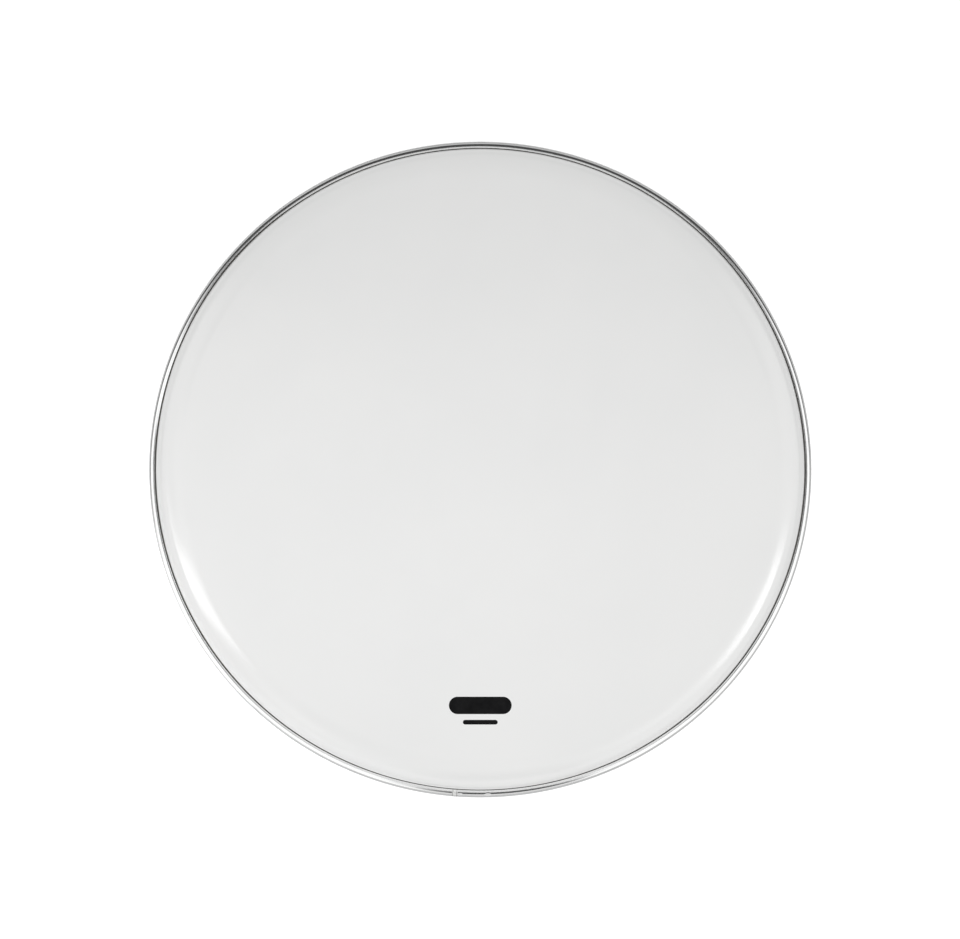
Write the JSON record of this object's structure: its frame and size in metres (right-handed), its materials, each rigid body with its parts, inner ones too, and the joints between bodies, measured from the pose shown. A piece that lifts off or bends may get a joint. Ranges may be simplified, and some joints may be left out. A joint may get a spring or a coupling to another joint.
{
  "type": "bass drum head",
  "caption": "Bass drum head: a glossy white film with a formed collar, potted in a rolled aluminium hoop that a counterhoop pulls down over the shell.",
  "frame": {"origin": "centre of the hoop's underside", "axes": "+Z along the drum axis towards the playing face, -Y from the drum axis towards the printed mark"},
  "size_m": [0.5775, 0.5775, 0.0224],
  "materials": {
    "film": "gloss white polyester film",
    "hoop": "rolled, satin along its length",
    "weld": "ground flush",
    "resin": "dark cast epoxy",
    "ring": "thin polyester film",
    "adhesive": "clear pressure-sensitive adhesive",
    "ink": "screen-printed black ink"
  },
  "bodies": {
    "root": {"batter_film": "film", "hoop_channel": "hoop", "hoop_weld": "weld", "potting_resin": "resin", "overtone_ring": "ring", "ring_adhesive": "adhesive", "printed_mark": "ink"}
  },
  "joints": []
}
